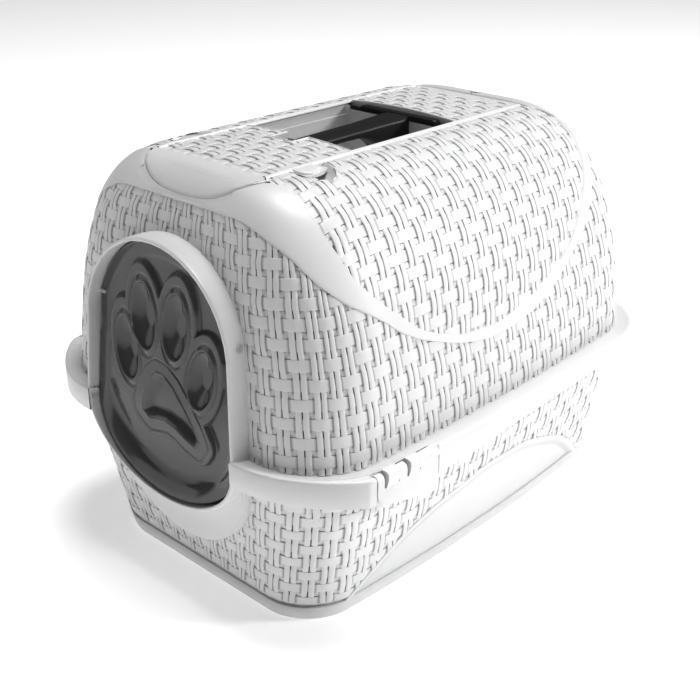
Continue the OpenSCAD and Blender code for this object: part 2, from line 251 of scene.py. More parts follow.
def entry_distance(p, g):
    """Distance outside the entry's outline grown by g, negative inside, for points in front of y = -150."""
    x, z = np.abs(p[..., 0]), p[..., 2]
    k = np.clip((z - SEAM) / (SPRING - SEAM), 0, 1)
    side = x - (BOWL_HALF + (ARCH_HALF - BOWL_HALF) * k + g)
    up = (np.hypot(x / (ARCH_HALF + g), (z - SPRING) / (ARCH_RISE + g)) - 1) * 85
    low = (np.hypot(x / (BOWL_HALF + g), (z - SEAM) / (BOWL_DROP + g)) - 1) * 75
    d = np.where(z > SPRING, up, np.where(z < SEAM, low, side))
    return np.where(p[..., 1] < -150, d, FAR)


def cut(p, faces, distance, **kw):
    """Drops the faces inside a hole and moves the corners left inside it to its edge, in the XZ plane."""
    d = distance(p, **kw)
    keep = (d[faces] > 0).any(1)
    faces = faces[keep]
    for _ in range(3):
        d = distance(p, **kw)
        inside = d < 0
        for axis in (0, 2):
            q = p.copy()
            q[..., axis] += PROBE
            slope = np.clip((distance(q, **kw) - d) / PROBE, -STEEPEST, STEEPEST)
            p[..., axis] -= np.where(inside, d * slope, 0)
    return p, faces


# ---------------------------------------------------------------- the woven relief
# Where a cell of the weave has points, across its reed pair and up its band, and the depth of a gap
COL = (-0.5, -0.375, -0.352, -0.32, -0.27, -0.19, -0.11, -0.06, -0.034, -0.02, 0.02, 0.034, 0.06, 0.11,
       0.19, 0.27,
       0.32, 0.352, 0.375)
ROW = (-0.5, -0.345, -0.32, -0.3, -0.2, 0, 0.2, 0.3, 0.32, 0.345)
FLOOR = -0.9


def lines(offsets, lo, hi, extra=()):
    a = [k + o for k in range(math.floor(lo) - 1, math.ceil(hi) + 2) for o in offsets]
    return np.unique(np.round([q for q in a if lo < q < hi] + [lo, hi, *extra], 5))


def relief(c, r, shift=0):
    """Height of the weave and its painted shade at each point, darkest deep in the gaps. c counts reed
    pairs and r counts bands.
    """
    ci, ri = np.round(c), np.round(r)
    p, q = np.abs(c - ci), np.abs(r - ri)
    over_pair = -np.cos(math.pi * (ci + r + shift))
    over_band = np.cos(math.pi * (c + ri + shift))
    s = np.clip((p - 0.19) / 0.163, -1, 1)
    reed = 0.3 + 0.52 * over_pair + 0.45 * (1 - np.abs(s) ** 3.5)
    gap = p < 0.028
    pair = np.where((p > 0.353) | gap, FLOOR, reed)
    band = np.where(q < 0.31, 0.3 + 0.52 * over_band + 0.14 * (1 - (q / 0.31) ** 2), FLOOR)
    h = np.maximum(np.maximum(pair, band), FLOOR)
    # painted shade: the deeper below the weave's top, the darker; fullest in the gap between the two reeds,
    # faint in the squares between pairs
    deep = np.clip((0.1 - h) / 1.1, 0, 1)
    h = np.where((p > 0.36) & (q > 0.325), -0.4, h)
    # painted shadow line along the outer edges of each reed pair where it lies over a band
    painted_shadow_line = np.exp(-((p - 0.364) / 0.016) ** 2) * (over_pair > 0.1) * 0.75
    return h, np.clip(deep * np.where(gap & (over_pair > -0.2), 1.0, np.where(p > 0.37, 0.12, 0.75)) + painted_shadow_line,
                      0, 1)


def add_weave(name, surface, cols, rows, body, shift=0, drop=None, hole=None, mirror=False):
    """A woven sheet. surface(c, r, h) gives its points, drop(p) marks those to leave out, and
    hole holds what cut needs."""
    c, r = np.meshgrid(cols, rows)
    # g is the painted shade of each point
    h, g = relief(c, r, shift)
    p = surface(c, r, h)
    f = quads(len(rows), len(cols))
    v = p.reshape(-1, 3)
    if drop is not None:
        gone = drop(v)
        f = f[~gone[f].any(1)]
    if hole is not None:
        v, f = cut(v, f, **hole)
    return white(name, v, f, body, groove=g, mirror=mirror, angle=40)


# ---------------------------------------------------------------- materials
def new_material(name):
    m = bpy.data.materials.new(name)
    m.use_nodes = True
    return m, m.node_tree, m.node_tree.nodes["Principled BSDF"]


def noise(nt, scale, detail=3.0, stretch=None):
    co = nt.nodes.new("ShaderNodeTexCoord")
    n = nt.nodes.new("ShaderNodeTexNoise")
    n.inputs["Scale"].default_value, n.inputs["Detail"].default_value = scale, detail
    if stretch:
        mp = nt.nodes.new("ShaderNodeMapping")
        mp.inputs["Scale"].default_value = stretch
        nt.links.new(co.outputs["Object"], mp.inputs["Vector"])
        nt.links.new(mp.outputs["Vector"], n.inputs["Vector"])
    else:
        nt.links.new(co.outputs["Object"], n.inputs["Vector"])
    return n


def spread(nt, source, lo, hi, a=0.3, b=0.7):
    r = nt.nodes.new("ShaderNodeMapRange")
    r.inputs["From Min"].default_value, r.inputs["From Max"].default_value = a, b
    r.inputs["To Min"].default_value, r.inputs["To Max"].default_value = lo, hi
    nt.links.new(source, r.inputs["Value"])
    return r.outputs["Result"]


def add_bump(nt, bsdf, source, strength, distance):
    b = nt.nodes.new("ShaderNodeBump")
    b.inputs["Strength"].default_value, b.inputs["Distance"].default_value = strength, distance
    nt.links.new(source, b.inputs["Height"])
    nt.links.new(b.outputs["Normal"], bsdf.inputs["Normal"])


def plastic(name, colour, rough, painted_shade_colour=None, grain=900, bump=0.12, specular=0.5, fleck=0.03):
    m, nt, bsdf = new_material(name)
    wide = noise(nt, 14, 4)
    fine = noise(nt, grain, 3)
    lo = nt.nodes.new("ShaderNodeMix")
    lo.data_type = "RGBA"
    lo.inputs["A"].default_value = (*[q * (1 - fleck) for q in colour], 1)
    lo.inputs["B"].default_value = (*colour, 1)
    nt.links.new(spread(nt, wide.outputs["Fac"], 0, 1), lo.inputs["Factor"])
    colour_out = lo.outputs["Result"]
    # painted shade: mixes the colour towards a dark colour by each point's painted shade attribute
    if painted_shade_colour:
        at = nt.nodes.new("ShaderNodeAttribute")
        at.attribute_name = "groove"
        mix = nt.nodes.new("ShaderNodeMix")
        mix.data_type = "RGBA"
        mix.inputs["B"].default_value = (*painted_shade_colour, 1)
        nt.links.new(colour_out, mix.inputs["A"])
        nt.links.new(at.outputs["Fac"], mix.inputs["Factor"])
        colour_out = mix.outputs["Result"]
    nt.links.new(colour_out, bsdf.inputs["Base Color"])
    nt.links.new(spread(nt, fine.outputs["Fac"], rough - 0.05, rough + 0.05), bsdf.inputs["Roughness"])
    bsdf.inputs["Specular IOR Level"].default_value = specular
    add_bump(nt, bsdf, fine.outputs["Fac"], bump, 0.0002)
    return m


# the white plastic, darkened by painted shade where a piece gives it
WHITE = plastic("white_plastic", (0.8, 0.8, 0.803), 0.36, painted_shade_colour=(0.1, 0.1, 0.103))
# a darker copy of the white plastic for the hand recess under the handle: painted shade, as the recess is
# white plastic in shade; the CAD roof insert uses it too
SHADED_WHITE = plastic("pale_plastic", (0.72, 0.72, 0.725), 0.45)
BLACK = plastic("black_plastic", (0.028, 0.028, 0.03), 0.42, grain=1500, bump=0.25)
STEEL, _nt, _b = new_material("steel")
_b.inputs["Metallic"].default_value = 1.0
_b.inputs["Base Color"].default_value = (0.75, 0.75, 0.77, 1)
_n = noise(_nt, 300, 2, (1, 12, 12))
_nt.links.new(spread(_nt, _n.outputs["Fac"], 0.16, 0.34), _b.inputs["Roughness"])
CHARCOAL = plastic("charcoal", (0.03, 0.03, 0.03), 0.9, grain=350, bump=0.9, fleck=0.3)

# ---------------------------------------------------------------- hood: woven wall
U1 = ((-1, 0, 1, 2, 3, 4, 6, 8, 10, 12, 14, 16, 18, 20),
      (273.75, 258.75, 243.75, 227.5, 212.5, 198.75, 168.25, 136.25, 102.5, 70, 37.5, 5, -27.5, -57.5))
FIRST, LAST = -7, 39


def hood_v(c, r):
    start = np.interp(c, (-1, 3, 8), (8.9, 11.3, 12))
    pitch = np.interp(c, (-1, 3, 4, 6, 8), (15.35, 15.45, 15.5, 15.95, 16.2))
    return start + (r - 1) * pitch


def hood_u(c, r, v):
    lean = np.interp(c, (3, 5, 7, 9, 12, 16, 20), (0, 0.9, 1.6, 2.1, 2.6, 3.3, 3.8)) * np.clip(r - 1, -0.5,
                                                                                               5)
    back_off = np.interp(r, (3, 5, 7, 9, 11, 12, 14), (0, 2.5, 5, 10.5, 22, 30, 44))
    u = np.interp(c, *U1) + lean - back_off * np.interp(c, (-1, 1, 3, 4, 6), (1.05, 0.9, 0.6, 0.45, 0))
    front = np.interp(v, HOOD.v, HOOD.front)
    rear = np.interp(v, HOOD.v, HOOD.rear)
    k = np.clip((-1 - c) / (-1 - FIRST), 0, 1)
    u = np.where(c < -1, u * (1 - k) + front * k, u)
    k = np.clip((c - 20) / (LAST - 20), 0, 1)
    return np.where(c > 20, u * (1 - k) - rear * k, u)


def hood_wall(c, r, h):
    v = np.clip(hood_v(c, r), 0, HOOD.top)
    return HOOD.at(hood_u(c, r, v), v, h)


# The raised band round the two side panels: outer and inner edges, from the front centre to the rear centre
OUTER = [(0, -209, 350), (30, -209, 350), (60, -209, 350), (75, -208, 349), (90, -207, 343),
         (99, -206, 338),
         (112, -203, 332), (123, -199, 322), (136, -192, 309), (147, -182, 298), (156, -170, 289),
         (161, -153, 278),
         (165, -135, 263), (169, -114, 251), (171, -92, 243), (172, -74, 236), (174, -49, 230),
         (174, -28, 226.5),
         (174, 0, 227), (174, 30, 232), (173, 46, 236), (172, 62, 242), (170, 80, 251), (166, 99, 264),
         (163, 120, 276), (157, 139, 293), (149, 155, 312), (139, 169, 329), (122, 185, 346),
         (100, 196, 356),
         (78, 201, 360), (40, 203, 361), (0, 203, 361)]
INNER = [(0, -207.5, 355.5), (26, -206.5, 356.5), (44, -203, 360.5), (54, -198, 366), (62, -191, 369.5),
         (67, -182, 371.5), (72, -175, 372), (80, -174.5, 370), (90, -174, 366), (102, -174.5, 360),
         (115, -175, 351),
         (127, -174.5, 339), (137, -172, 327), (146, -168, 311), (155, -153, 293), (162, -135, 278),
         (166, -114, 260),
         (169, -92, 250), (171, -68, 242.5), (172, -41, 239), (173, -13, 237.5), (172, 16, 243),
         (171, 38, 248.5),
         (169, 61, 256), (166, 82, 265), (162, 101, 277), (157, 119, 292), (151, 134, 307), (141, 146, 325),
         (130, 156, 340), (114, 165, 353), (97, 171, 361), (82, 171, 367), (69, 163, 372.5),
         (30, 162.5, 373.5),
         (0, 162.5, 373.5)]


DENSE, SOFT = 1500, 41


def along(points, n):
    """Points spread evenly along a smoothed polyline of any dimension."""
    p = np.array(points, float)
    s = np.r_[0, np.cumsum(np.linalg.norm(np.diff(p, axis=0), axis=1))]
    s /= s[-1]
    q = np.column_stack([np.interp(np.linspace(0, 1, DENSE), s, p[:, k]) for k in range(p.shape[1])])
    w = np.hanning(SOFT)
    w /= w.sum()
    pad = np.vstack([2 * q[0] - q[40:0:-1], q, 2 * q[-1] - q[-2:-42:-1]])
    q = np.column_stack([np.convolve(pad[:, k], w, "same")[40:-40] for k in range(p.shape[1])])
    here, there = np.linspace(0, 1, n), np.linspace(0, 1, DENSE)
    return np.column_stack([np.interp(here, there, q[:, k]) for k in range(p.shape[1])])


def pair_up(a, b, n):
    """The same number of points along two polylines that are matched corner by corner."""
    m = 400
    pa = along(a, m)
    pb = along(b, m)
    return pa[np.linspace(0, m - 1, n).astype(int)], pb[np.linspace(0, m - 1, n).astype(int)]


# Both edges as functions of y on the side, for trimming the woven sheets under the band
o_y = np.array([(p[1], p[2]) for p in OUTER[3:-3]])
i_y = np.array([(p[1], p[2]) for p in INNER[11:-3]])


def above_band(v):
    """Marks the points of the lower wall that the band or the side panel covers."""
    edge = np.interp(v[:, 1], o_y[:, 0], o_y[:, 1]) + 4.5
    edge = np.where(v[:, 1] < -208.5, 354.0, edge)
    edge = np.where(v[:, 1] > 199, 364.5, edge)
    return v[:, 2] > edge


def below_panel(v):
    """Marks the points of a side panel's sheet that lie outside the panel."""
    edge = np.interp(v[:, 1], i_y[:, 0], i_y[:, 1]) - 4.0
    rear = np.interp(v[:, 0], (66, 69, 80, 97, 114), (156, 158.5, 166, 168, 164))
    return (v[:, 2] < edge) | (v[:, 1] < -178.5) | ((v[:, 1] > rear) & (v[:, 0] < 114))


rows = lines(ROW, 0.3, 15.4)
hole = dict(distance=entry_distance, g=1.4)
for s, tag in SIDES:
    for k, (c0, c1) in enumerate(((FIRST, 5.5), (5.5, 17.5), (17.5, 28.5), (28.5, LAST))):
        add_weave(f"hood_wall_{tag}_{k}", hood_wall, lines(COL, c0, c1),
                  rows if k in (0, 3) else lines(ROW, 0.3, 12.4),
                  "hood", drop=above_band, hole=hole if k == 0 else None, mirror=s)


# ---------------------------------------------------------------- hood: woven side panels
SEAM_X = 67.3
PAIR_PITCH = 16.6
PANEL_BAND, LID_BAND = 14.72, 11.8
PANEL_REACH = 220


def section(y):
    """Arc from the lid's seam outward and down, with the points of the section at a y."""
    x = HOOD.half_width(FINE, y)
    ok = ~np.isnan(x)
    x, z = x[ok][::-1], bez(HOOD.rows[5], FINE)[ok][::-1]
    arc = np.r_[0, np.cumsum(np.hypot(np.diff(x), np.diff(z)))]
    return arc - np.interp(SEAM_X, x, arc), x, z


def panel_points(c, r, h):
    """Points of a side panel, from a table of the hood's sections every millimetre."""
    a = 2.5 + PANEL_BAND * (r - 1)
    y = -144.5 + PAIR_PITCH * c - 1.5 * (r - 3)
    a = np.maximum(a, 0)
    out = np.zeros(c.shape + (3,))
    grid_y = np.arange(-182, 184, 1.0)
    tab = []
    for q in grid_y:
        arc, x, z = section(q)
        k = np.arange(0, PANEL_REACH, 1.0)
        px, pz = np.interp(k, arc, x), np.interp(k, arc, z)
        tab.append(np.column_stack([px, pz]))
    tab = np.array(tab)
    fy = np.clip(y - grid_y[0], 0, len(grid_y) - 1.001)
    fa = np.clip(a, 0, PANEL_REACH - 1.01)
    i, j = fy.astype(int), fa.astype(int)
    di, dj = (fy - i)[..., None], (fa - j)[..., None]
    q = ((tab[i, j] * (1 - di) + tab[i + 1, j] * di) * (1 - dj)
         + (tab[i, j + 1] * (1 - di) + tab[i + 1, j + 1] * di) * dj)
    t = tab[i, np.minimum(j + 1, PANEL_REACH - 1)] - tab[i, j]
    t = t / np.maximum(np.linalg.norm(t, axis=-1, keepdims=True), 1e-6)
    edge = smooth(0, 1.5, a)[..., None]
    q = q + np.stack([-t[..., 1], t[..., 0]], -1) * (h[..., None] * edge)
    out[..., 0], out[..., 1], out[..., 2] = q[..., 0], y, q[..., 1]
    return out


def dish_distance(p, g=0.0):
    """Distance outside the finger dish beside the lid, negative inside, in plan."""
    x, y = p[..., 0], p[..., 1]
    return (np.hypot((x - 67) / (27 + g), (y + 134.5) / (17.5 + g)) - 1) * 20


def cut_plan(p, faces, distance, **kw):
    """As cut, for a hole seen in plan; both axes move at once."""
    d = distance(p, **kw)
    faces = faces[(d[faces] > 0).any(1)]
    for _ in range(3):
        d = distance(p, **kw)
        inside = d < 0
        move = np.zeros_like(p)
        for axis in (0, 1):
            q = p.copy()
            q[..., axis] += PROBE
            move[..., axis] = np.clip((distance(q, **kw) - d) / PROBE, -STEEPEST, STEEPEST)
        p = p - np.where(inside, d, 0)[..., None] * move
    return p, faces


for s, tag in SIDES:
    for k, (c0, c1) in enumerate(((-2.2, 4.5), (4.5, 12.5), (12.5, 20.6))):
        cc, rr = np.meshgrid(lines(COL, c0, c1), lines(ROW, 0.83, 14.2))
        h, g = relief(cc, rr)
        p = panel_points(cc, rr, h).reshape(-1, 3)
        f = quads(*cc.shape)
        gone = below_panel(p)
        f = f[~gone[f].any(1)]
        if k == 0:
            p, f = cut_plan(p, f, dish_distance)
        white(f"hood_panel_{tag}_{k}", p, f, "hood", groove=g, mirror=s, angle=40)

# ---------------------------------------------------------------- hood: smooth cap and band
po, pi = pair_up(OUTER, INNER, 260)
uo, ui = HOOD.nearest(po), HOOD.nearest(pi)
uo, ui = along(uo, 260), along(ui, 260)
# both ends reach just past the middle of the front and the rear
uo[0, 0] = ui[0, 0] = HOOD.REACH - 1
uo[-1, 0] = ui[-1, 0] = 1 - HOOD.REACH
grid, width = [], np.linalg.norm(po - pi, axis=1)
for a, b, wd in zip(uo, ui, width):
    wd = max(wd, 6.0)
    ch = 4.5 if wd < 22 else 0.9
    d = np.r_[0, 0.25, 0.7, 1.5, 3.0, np.linspace(3.0, wd - ch - 1.2, 12)[1:-1], wd - ch - 0.9, wd - ch,
              wd - ch * 0.5,
              wd - 0.5, wd]
    o = np.r_[-1.6, 1.1, 1.65, 1.85, 1.9, np.full(10, 1.9), 1.88, 1.6, 0.75, 0.0, -1.4]
    k = (d / wd)[:, None]
    uv = a * (1 - k) + b * k
    grid.append(HOOD.at(uv[:, 0], uv[:, 1], o))
grid = np.array(grid)
g = grid.reshape(-1, 3)
f = quads(grid.shape[0], grid.shape[1], flip=True)
# painted shade: a painted shadow line along the band's outer edge and painted shade down its inner chamfer
shade = np.tile(np.r_[0.5, 0.25, 0.05, np.zeros(12), 0.0, 0.06, 0.12, 0.14, 0.3], len(grid))
for s, tag in SIDES:
    white(f"hood_band_{tag}", g, f, "hood", mirror=s, groove=shade)

# ---------------------------------------------------------------- materials of the CAD nodes
NODE_MATERIAL = {q: WHITE for q in nodes}
NODE_MATERIAL.update(roof_insert=SHADED_WHITE, carry_handle=BLACK, filter_frame=BLACK, carbon_filter=CHARCOAL,
                     handle_screws=STEEL,
                     lid_hinge_pins=STEEL, flap_pins=STEEL, clip_hinge_pins=STEEL)
for name, o in nodes.items():
    o.data.materials.clear()
    o.data.materials.append(NODE_MATERIAL[name])
    o.data.set_sharp_from_angle(angle=math.radians(32))


# ---------------------------------------------------------------- hood: flange with its skirt
def foot_ring(out):
    """The hood's foot grown by out; its front corners are fuller, to cover the clips' pin bosses."""
    x, y = half_outline(167 + out, -232 - out * 18 / 19, 231 + out, 60 + max(out, 0) * 1.5, 11)
    fuller = np.interp(y, (-246, -240, -228, -215, -205, -197, -190, -175, -161, -140, -119),
                       (0, 0.4, 1.8, 4.8, 7.2, 8.7, 6.8, 3.2, 1.5, 0.4, 0))
    return x + fuller * np.clip(out / 19.6, 0, 1) * (x > 110), y


CLIP_Y = (-190.5, -119.5)
levels = ((-1.0, 166.2), (0.6, 165.0), (4, 165.6), (10, 167.2), (14.5, 168.6), (16.5, 169.2), (18, 169.2),
          (19.2, 168.4),
          (19.6, 166.8), (19.6, 161), (19.5, None), (19.1, -0.5), (18.2, -0.7), (17.0, -0.4), (16.8, 163))
rings = []
for out, z in levels:
    x, y = foot_ring(out)
    skirt = np.interp(y, (-250, -230, -192, -114, -66, -9, 60, 119, 200),
                      (148, 146.5, 145.5, 143.5, 145, 150, 153, 155, 156))
    if z is None:
        z = skirt
    elif z < 0:
        z = skirt + z
    p = np.column_stack([x, y, np.broadcast_to(z, x.shape)])
    if out > 11:
        inner = np.column_stack(foot_ring(11.5))
        gap = (y > CLIP_Y[0]) & (y < CLIP_Y[1])
        p[gap, :2] = inner[gap]
        p[gap, 2] = np.minimum(p[gap, 2], 167.6)
    rings.append(p)
rings = np.array(rings)
f = quads(rings.shape[0], rings.shape[1])
v = rings.reshape(-1, 3)
gone = (np.abs(v[:, 0]) < 93.5) & (v[:, 1] < -225)
f = f[~gone[f].all(1)]
for s, tag in SIDES:
    white(f"hood_flange_{tag}", v, f[:, ::-1], "hood", mirror=s, angle=50)


# ---------------------------------------------------------------- entry surround, upper half and lower half
def porch_y(z):
    """The leaning front face of the surround."""
    return np.where(z > SEAM, -249.6 + 0.065 * (z - SEAM), -249.6 - 0.049 * (z - SEAM))


def surround(name, part, body):
    prof = ((-0.35, 27), (-0.35, 10), (-0.35, 1.6), (-0.1, 0.7), (0.4, 0.15), (1.1, 0), (1.9, 0.05),
            (2.6, 0.5), (3.0, 1.3),
            (3.15, 2.6), (3.15, 10), (3.15, 23))
    out = []
    for g, d in prof:
        c = entry_curve(g, 96, part)
        if part == "arch":
            a = np.linspace(SEAM + 0.25, SPRING, 12)[:-1]
            k = (a - SEAM) / (SPRING - SEAM)
            side = np.column_stack([BOWL_HALF + g - 4.8 * k, a])
            c = np.vstack([side, c[1:-1], side[::-1] * (-1, 1)])
        else:
            c = c[c[:, 1] <= SEAM - 0.2]
        out.append(np.column_stack([c[:, 0], porch_y(c[:, 1]) + d, c[:, 1]]))
    n = min(map(len, out))
    out = np.array([q[:n] for q in out])
    return white(name, out, quads(len(prof), n, flip=(part == "arch")), body, angle=50)


surround("entry_surround_upper", "arch", "hood")
surround("entry_surround_lower", "bowl", "tray")

# ---------------------------------------------------------------- tray: woven wall
D_U = ((-2, 0, 2, 4, 6, 8, 10, 12, 14, 16), (261.25, 230, 198.75, 163, 128.5, 94, 60.5, 26.25, -7, -41.5))
TRAY_FIRST, TRAY_LAST = -9, 35


def tray_uv(c, r):
    v = np.interp(c, (2, 6), (118, 116)) + r * np.interp(c, (2, 6), (15.6, 16.4))
    v = np.clip(v, 0, TRAY.top)
    u = np.interp(c, *D_U) + 1.8 * r
    front, rear = np.interp(v, TRAY.v, TRAY.front), np.interp(v, TRAY.v, TRAY.rear)
    k = np.clip((-2 - c) / (-2 - TRAY_FIRST), 0, 1)
    u = np.where(c < -2, u * (1 - k) + front * k, u)
    k = np.clip((c - 16) / (TRAY_LAST - 16), 0, 1)
    return np.where(c > 16, u * (1 - k) - rear * k, u), v


SAIL = ((-165, -132, -114, -92, -64, -37, -11, 20, 53, 74, 116, 143, 165, 185),
        (12, 39, 53, 63, 73, 77, 84, 84, 82, 77, 61, 47, 29, 10))


def in_sail(v, margin=0.0):
    top = np.interp(v[:, 1], *SAIL, left=-50, right=-50) + margin
    return (v[:, 2] < top) & (v[:, 0] > 90)


def apron_distance(p, g=0.0):
    x, z = np.abs(p[..., 0]), p[..., 2]
    d = (np.hypot(x / (93 + g), (z - 150) / (99 + g)) - 1) * 95
    d = np.where(z > 150, x - 93 - g, d)
    return np.where(p[..., 1] < -150, d, FAR)


for s, tag in SIDES:
    for k, (c0, c1) in enumerate(((TRAY_FIRST, 4.5), (4.5, 16.5), (16.5, 26.5), (26.5, TRAY_LAST))):
        add_weave(f"tray_wall_{tag}_{k}", lambda c, r, h: TRAY.at(*tray_uv(c, r), h), lines(COL, c0, c1),
                  lines(ROW, -6.2, 2.75), "tray", shift=1, drop=lambda v: in_sail(v, 3.5), mirror=s,
                  hole=dict(distance=apron_distance, g=-1.5) if k == 0 else None)

# smooth band round the foot of the tray
u = np.linspace(-395, 395, 400)
band = []
for v0, h in ((15.9, -1.1), (15.8, 0.5), (15.2, 1.1), (8, 1.1), (3, 0.8), (0.9, 0.2), (0, -1.6)):
    k = np.clip(u, -np.interp(v0, TRAY.v, TRAY.rear), np.interp(v0, TRAY.v, TRAY.front))
    band.append(TRAY.at(k, np.full(len(u), v0), h))
for s, tag in SIDES:
    white(f"tray_foot_{tag}", np.array(band), quads(7, 400), "tray", mirror=s, angle=50)

# smooth arched panel on each side of the tray, set a little below its raised edge; painted shade on its
# outer edge and its chamfer, and faint painted shade over the recessed floor
y = np.linspace(-165, 185, 220)
z = np.interp(y, *SAIL)
w = np.hanning(25)
z = np.convolve(np.pad(z, 12, mode="reflect", reflect_type="odd"), w / w.sum(), "valid")
dz = np.gradient(z, y)
ny, nz = -dz / np.hypot(1, dz), 1 / np.hypot(1, dz)


def on_tray(y, z, h):
    """Points of the tray's +X side at given y and z."""
    v = np.interp(z, TRAY.p[:, 400, 2], TRAY.v)
    u = -y
    for _ in range(4):
        u = u + (TRAY.at(u, v)[..., 1] - y)
    return TRAY.at(u, v, h)


sail = []
for m, h in ((5.6, -1.1), (5.4, 0.6), (4.9, 1.15), (2.4, 1.2), (0.6, 1.05), (0, 0.75), (-4.6, -0.7),
             (-5.4, -0.8)):
    sail.append(on_tray(y + ny * m, np.maximum(z + nz * m, 4), np.full(len(y), h)))
for k in np.linspace(0.0, 1, 14)[1:]:
    zz = (z - 5.4) * (1 - k) + 11.5 * k
    sail.append(on_tray(y - ny * 5.4 * (1 - k), np.maximum(zz, 4), np.full(len(y), -0.8)))
for s, tag in SIDES:
    white(f"tray_panel_{tag}", np.array(sail), quads(len(sail), 220), "tray", mirror=s, angle=50,
          groove=np.repeat([0.3, 0.1, 0, 0, 0, 0.1, 0.2, 0.13] + [0.03] * (len(sail) - 8), 220))

# pad below the entry
a = np.linspace(math.pi, 2 * math.pi, 120)
pad = []
inner_x, inner_z = (BOWL_HALF + 1.5) * np.cos(a), SEAM + (BOWL_DROP + 1.5) * np.sin(a)
for k, e, d in ((0, 0, 0), (0.35, 2, 0), (0.7, 2, 0), (1, 3.2, 0), (1, 1.6, 0.35), (1, 0.5, 1.3),
                (1, 0, 2.8), (1, 0, 20)):
    ox, oz = (93.6 - e) * np.cos(a), 150 + (99.6 - e) * np.sin(a)
    x, z = inner_x * (1 - k) + ox * k, inner_z * (1 - k) + oz * k
    pad.append(np.column_stack([x, -231.3 - 0.1 * (z - 100) + d, z]))
white("tray_apron", np.array(pad), quads(len(pad), 120), "tray", angle=50)

# small rib under the flange, beside the entry
rib = np.array([[[x, y, z] for x, y in ((146, -210), (146.6, -213.5), (148, -213), (148.6, -209),
                                        (147, -204))]
                for z in (146, 138, 124, 118)])
rib[3] = rib[3] * 0.25 + np.array([147, -209, 116]) * 0.75
white("tray_rib", rib, quads(4, 5, close_c=True), "tray")


# ---------------------------------------------------------------- lid
def lid_z(x, y):
    fall = np.interp(y, (-210, -207, -204, -198, -190, -177, -160),
                     (352, 356, 361, 367, 370.6, 373.4, 374.2))
    crown = 3.0 * (1 - (np.asarray(x) / 66) ** 2) * smooth(-200, -150, y) * smooth(160, 110, y)
    return fall + crown - 0.7 * smooth(130, 156, y)


def window_distance(p, g=0.0):
    """Distance outside the window and its notch, negative inside, in plan."""
    x, y = np.abs(p[..., 0]), p[..., 1]
    a = np.maximum(x - 64.2 - g, np.abs(y + 10.5) - 67.5 - g)
    b = np.maximum(x - 12.5 - g, np.abs(y + 80) - 17 - g)
    return np.minimum(a, b)


def lid_points(c, r, h):
    x, y = 59 - LID_BAND * r, -161.25 + PAIR_PITCH * c
    return np.stack([x, y, lid_z(x, y) + h], -1)


cc, rr = np.meshgrid(lines(COL, -0.98, 18.9), lines(ROW, -0.42, 10.42))
h, g = relief(cc, rr, 1)
p = lid_points(cc, rr, h).reshape(-1, 3)
f = quads(*cc.shape, flip=True)
p, f = cut_plan(p, f, window_distance, g=1.6)
white("lid_weave", p, f, "lid", groove=g, angle=40)

# smooth tongue, side beads and rear band
phi = np.linspace(-math.pi / 2, math.pi / 2, 80)
tongue = []
for k, h in ((0, -1.0), (0.0, 0.9), (0.06, 1.5), (0.3, 1.7), (0.6, 1.8), (0.85, 1.8), (0.95, 1.7),
             (0.985, 1.2), (1.0, 0.4),
             (1.0, -3.0)):
    x = 65.8 * np.sin(phi)
    front = np.interp(np.abs(x), (0, 15, 26, 36, 44, 50, 54, 58, 62, 64.5, 65.8),
                      (-207.2, -206.9, -206.1, -204.5, -202.4, -200,
                                                                              -197.7, -194.7, -189.6,
                       -184.4, -178))
    y = -176.8 + (front + 176.8) * k
    tongue.append(np.column_stack([x, y, lid_z(x, y) + h]))
white("lid_tongue", np.array(tongue), quads(len(tongue), 80, flip=True), "lid", angle=50)
y = np.linspace(-176.8, 153, 120)
for s, tag in SIDES:
    bead = [np.column_stack([np.full(120, x), y, lid_z(x, y) + h]) for x, h in
            ((62.0, -1.0), (62.2, 1.0), (62.9, 1.8), (64.2, 2.0), (65.3, 1.6), (65.9, 0.6), (66.0, -0.8))]
    white(f"lid_bead_{tag}", np.array(bead), quads(7, 120), "lid", mirror=s, angle=50)
x = np.linspace(-63, 63, 40)
rear = [np.column_stack([x, np.full(40, y), lid_z(x, y) + h]) for y, h in
        ((151.6, -1), (151.8, 0.7), (152.6, 1.1), (156, 1.1), (156.8, 0.6), (157, -2))]
white("lid_rear_band", np.array(rear), quads(6, 40, flip=True), "lid", angle=50)


# rim of the window
def window_loop(g):
    a, b, c, d, e = 64.2 + g, 57 + g, -78 - g, 12.5 + g, -97 - g
    return np.array([(a, b), (a, c), (d, c), (d, e), (-d, e), (-d, c), (-a, c), (-a, b)])


rim = []
for g, h in ((1.7, -1), (1.6, 1.0), (1.2, 1.5), (0.3, 1.5), (-0.1, 1.1), (-0.2, 0.2), (-0.2, -6)):
    loop = window_loop(g)
    pts = np.vstack([np.linspace(loop[i], loop[(i + 1) % 8], 12)[:-1] for i in range(8)])
    rim.append(np.column_stack([pts, lid_z(pts[:, 0], pts[:, 1]) + h]))
white("lid_window_rim", np.array(rim), quads(7, 88, close_c=True), "lid", angle=50)

